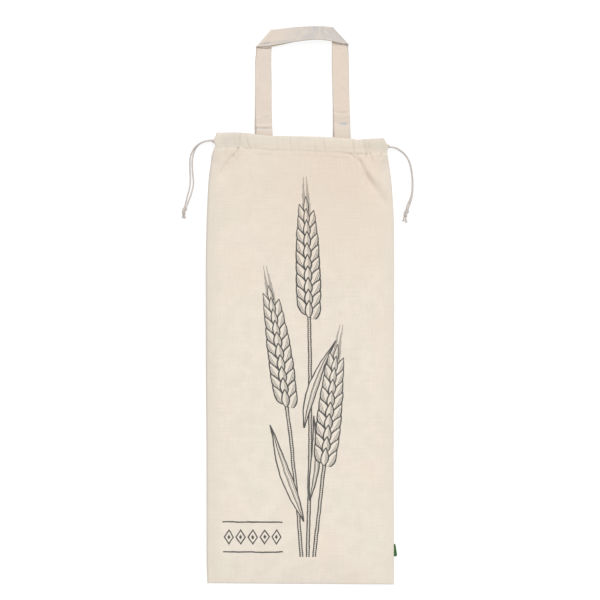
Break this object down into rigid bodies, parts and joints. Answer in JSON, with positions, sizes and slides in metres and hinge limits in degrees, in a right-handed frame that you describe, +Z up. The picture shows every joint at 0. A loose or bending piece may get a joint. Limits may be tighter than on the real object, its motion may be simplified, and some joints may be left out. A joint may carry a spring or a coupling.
{
  "type": "linen bread bag",
  "caption": "Long linen drawstring bag for bread, lying flat on its back, with a lightly gathered mouth, tape handles folded over at the top and knotted cords at the sides.",
  "frame": {"origin": "middle of the whole bag, handles included and free cords left out, on the surface that it lies on", "axes": "+X across the bag, to the right of someone looking down at its front with the mouth away from them; +Y along the bag, from its bottom seam to its mouth and handles; +Z up, out of the front panel"},
  "size_m": [0.3707, 0.8925, 0.0189],
  "materials": {
    "linen": "unbleached plain-weave linen canvas with fine slubs, matt",
    "tape": "plain flat woven linen tape, matt",
    "cord": "twisted cotton cord, matt, slightly fuzzy",
    "label": "folded woven ribbon, dark green, plain"
  },
  "bodies": {
    "root": {"front_panel": "linen", "back_panel": "linen", "side_label": "label", "front_handle": "tape", "back_handle": "tape", "left_cord_casing": "cord", "left_strand_front": "cord", "left_strand_back": "cord", "left_knot": "cord", "right_cord_casing": "cord", "right_strand_front": "cord", "right_strand_back": "cord", "right_knot": "cord"}
  },
  "joints": []
}
